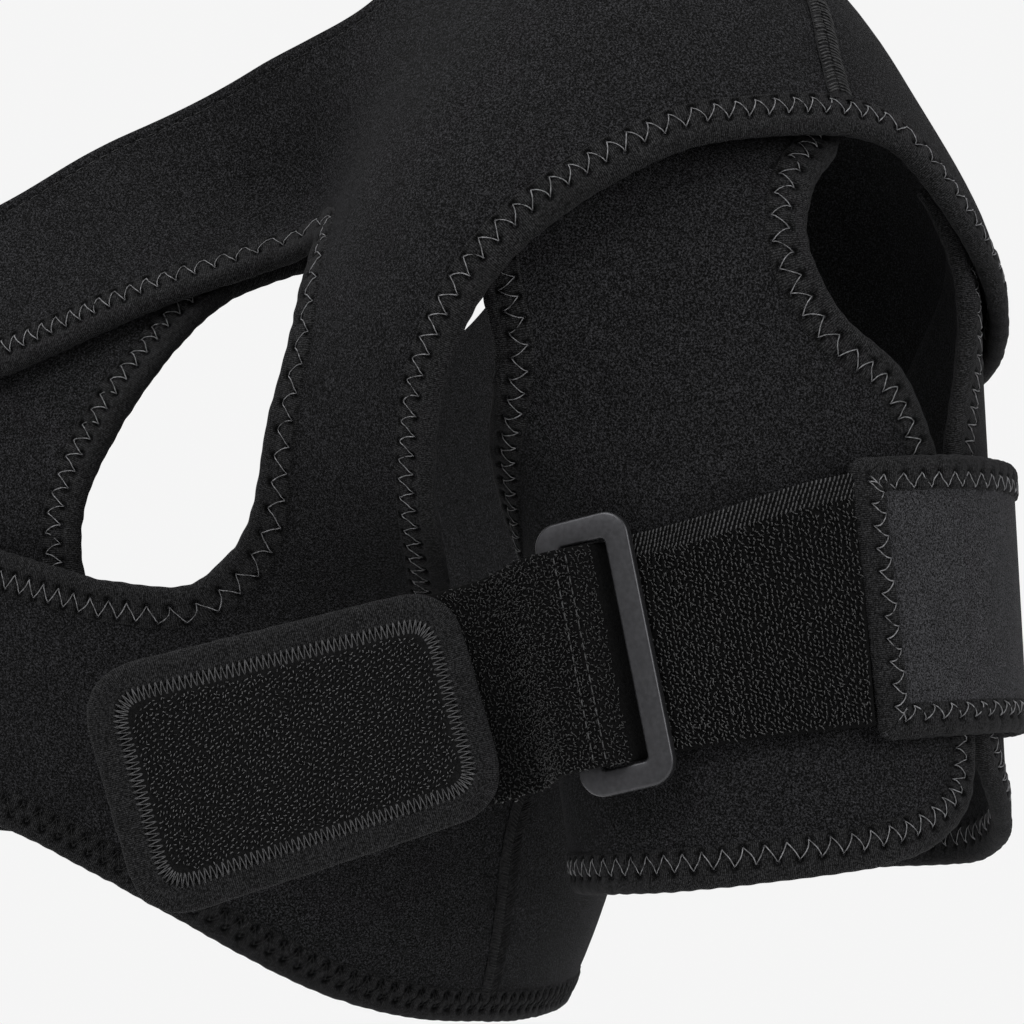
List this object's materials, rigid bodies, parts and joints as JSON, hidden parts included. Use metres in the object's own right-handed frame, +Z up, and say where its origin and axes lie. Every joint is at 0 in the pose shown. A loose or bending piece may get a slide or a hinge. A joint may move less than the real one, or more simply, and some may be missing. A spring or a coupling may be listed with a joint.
{
  "type": "shoulder brace",
  "caption": "Neoprene brace for a left shoulder: sash with a long front opening, chest strap, keyhole arm cuff, and a strap threaded through a metal ring to a hook tab.",
  "frame": {"origin": "top of the shoulder, on the inner face of the panels under the shoulder seam", "axes": "+Z up, +X to the wearer's left (the arm in the cuff), -Y to the wearer's front"},
  "size_m": [0.4833, 0.2761, 0.2818],
  "materials": {
    "neoprene": "matte knit face",
    "binding": "matte ribbed knit",
    "loop_pile": "looped pile",
    "hook": "woven hook tape",
    "ring_metal": "satin dark grey"
  },
  "bodies": {
    "root": {"body_front": "neoprene", "body_back": "neoprene", "chest_strap": "neoprene", "arm_cuff": "neoprene", "strap_base": "neoprene", "tab_base": "neoprene", "opening_binding": "binding", "hem_binding_front": "binding", "hem_binding_back": "binding", "armhole_binding_front": "binding", "armhole_binding_back": "binding", "strap_end_binding": "binding", "cuff_top_binding": "binding", "cuff_edge_binding": "binding", "strap_base_binding": "binding", "tab_binding": "binding", "shoulder_seam": "binding", "side_seam": "binding", "strap_webbing": "loop_pile", "ring_anchor": "loop_pile", "hook_patch": "hook", "ring": "ring_metal"}
  },
  "joints": []
}
